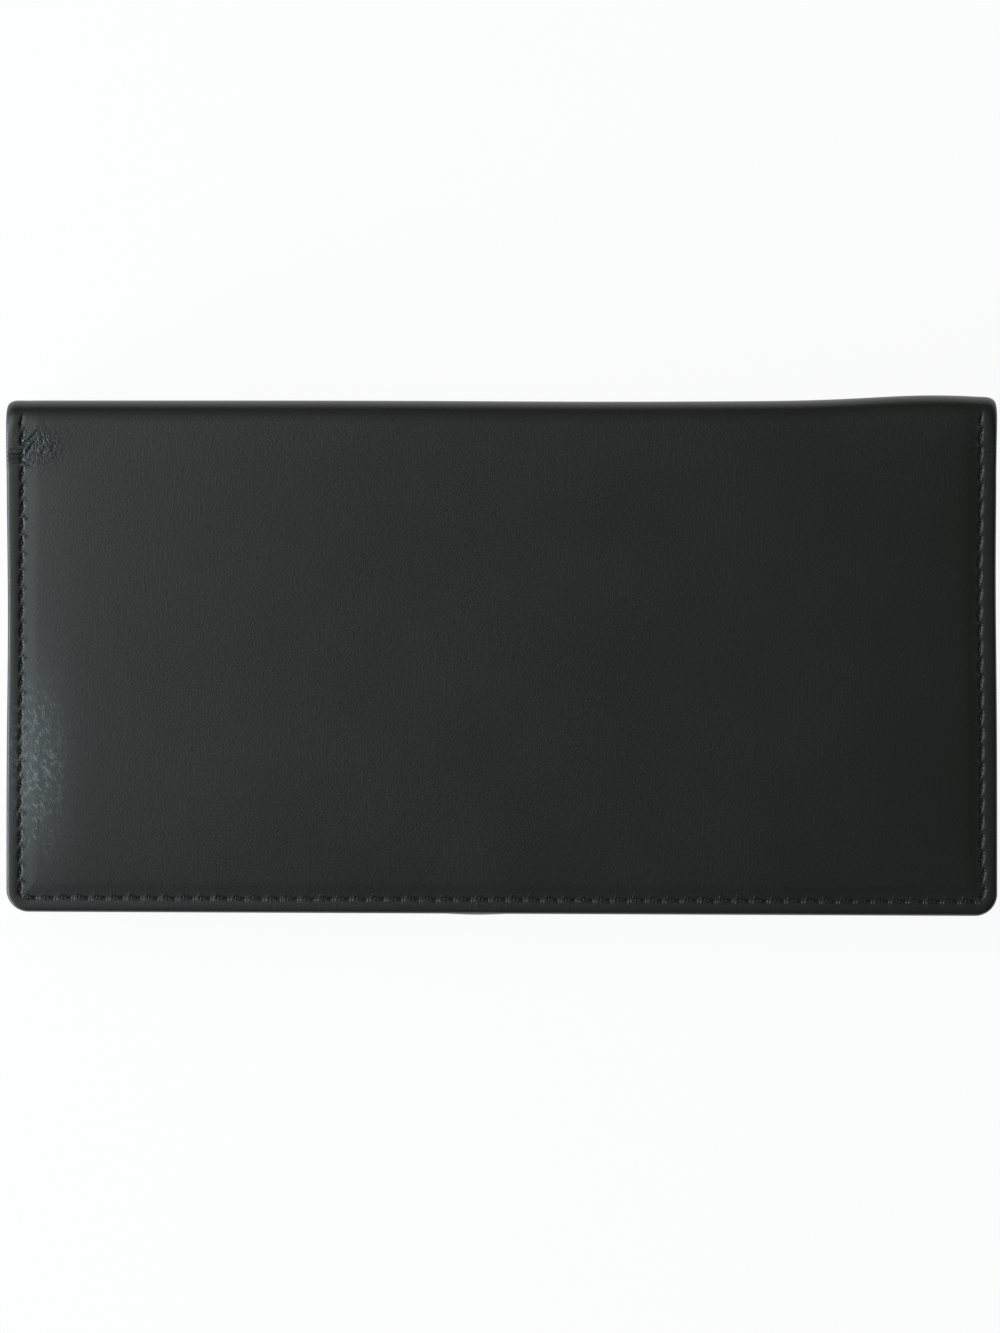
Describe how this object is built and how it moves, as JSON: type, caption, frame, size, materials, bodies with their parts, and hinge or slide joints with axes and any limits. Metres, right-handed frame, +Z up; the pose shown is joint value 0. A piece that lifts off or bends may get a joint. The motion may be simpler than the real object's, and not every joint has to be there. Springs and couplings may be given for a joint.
{
  "type": "checkbook cover",
  "caption": "Fold-over leather cover for top-tear checks: inner pockets, stepped card slots and a clear divider flap, opening flat on a rounded leather fold.",
  "frame": {"origin": "middle of the closed cover's outline, on the surface that its back face lies on", "axes": "+X along the fold, +Y from the free edge to the fold, +Z up through the closed cover to its front face"},
  "size_m": [0.1714, 0.0889, 0.0127],
  "materials": {
    "cover_leather": "smooth, semi-gloss, black",
    "pocket_leather": "smooth, satin, black",
    "lining_fabric": "plain weave, matte, black",
    "stiffening_board": "matte, grey-brown",
    "sewing_thread": "bonded polyester, black",
    "binding_tape": "ribbed tape, matte, black",
    "clear_vinyl": "clear, glossy"
  },
  "bodies": {
    "back_panel": {"back_cover": "cover_leather", "back_stiffener": "stiffening_board", "back_lining": "lining_fabric", "check_pocket": "pocket_leather", "check_pocket_lining": "lining_fabric", "back_seam_thread": "sewing_thread", "check_pocket_thread": "sewing_thread", "divider_binding": "binding_tape", "divider_binding_thread": "sewing_thread"},
    "spine": {"spine_cover": "cover_leather", "spine_lining": "lining_fabric", "spine_seam_thread": "sewing_thread"},
    "front_panel": {"front_cover": "cover_leather", "front_stiffener": "stiffening_board", "front_lining": "lining_fabric", "register_pocket": "pocket_leather", "register_pocket_lining": "lining_fabric", "front_seam_thread": "sewing_thread", "register_pocket_thread": "sewing_thread", "card_slot_upper": "pocket_leather", "card_slot_middle": "pocket_leather", "card_slot_lower": "pocket_leather", "card_slot_thread": "sewing_thread"},
    "divider": {"divider_flap": "clear_vinyl"}
  },
  "joints": [
    {"name": "spine_fold", "type": "hinge", "parent": "back_panel", "child": "spine", "pos_m": [0, 0.04309, 0.00136], "axis": [-1, 0, 0], "range_deg": [0, 90]},
    {"name": "cover_fold", "type": "hinge", "parent": "spine", "child": "front_panel", "pos_m": [0, 0.04309, 0.01134], "axis": [-1, 0, 0], "range_deg": [0, 90]},
    {"name": "divider_swing", "type": "hinge", "parent": "back_panel", "child": "divider", "pos_m": [0, 0.0341, 0.00243], "axis": [-1, 0, 0], "range_deg": [0, 54]}
  ],
  "couplings": [
    {"joint": "cover_fold", "follows": "spine_fold", "ratio": 1},
    {"joint": "divider_swing", "follows": "spine_fold", "ratio": 0.6}
  ]
}
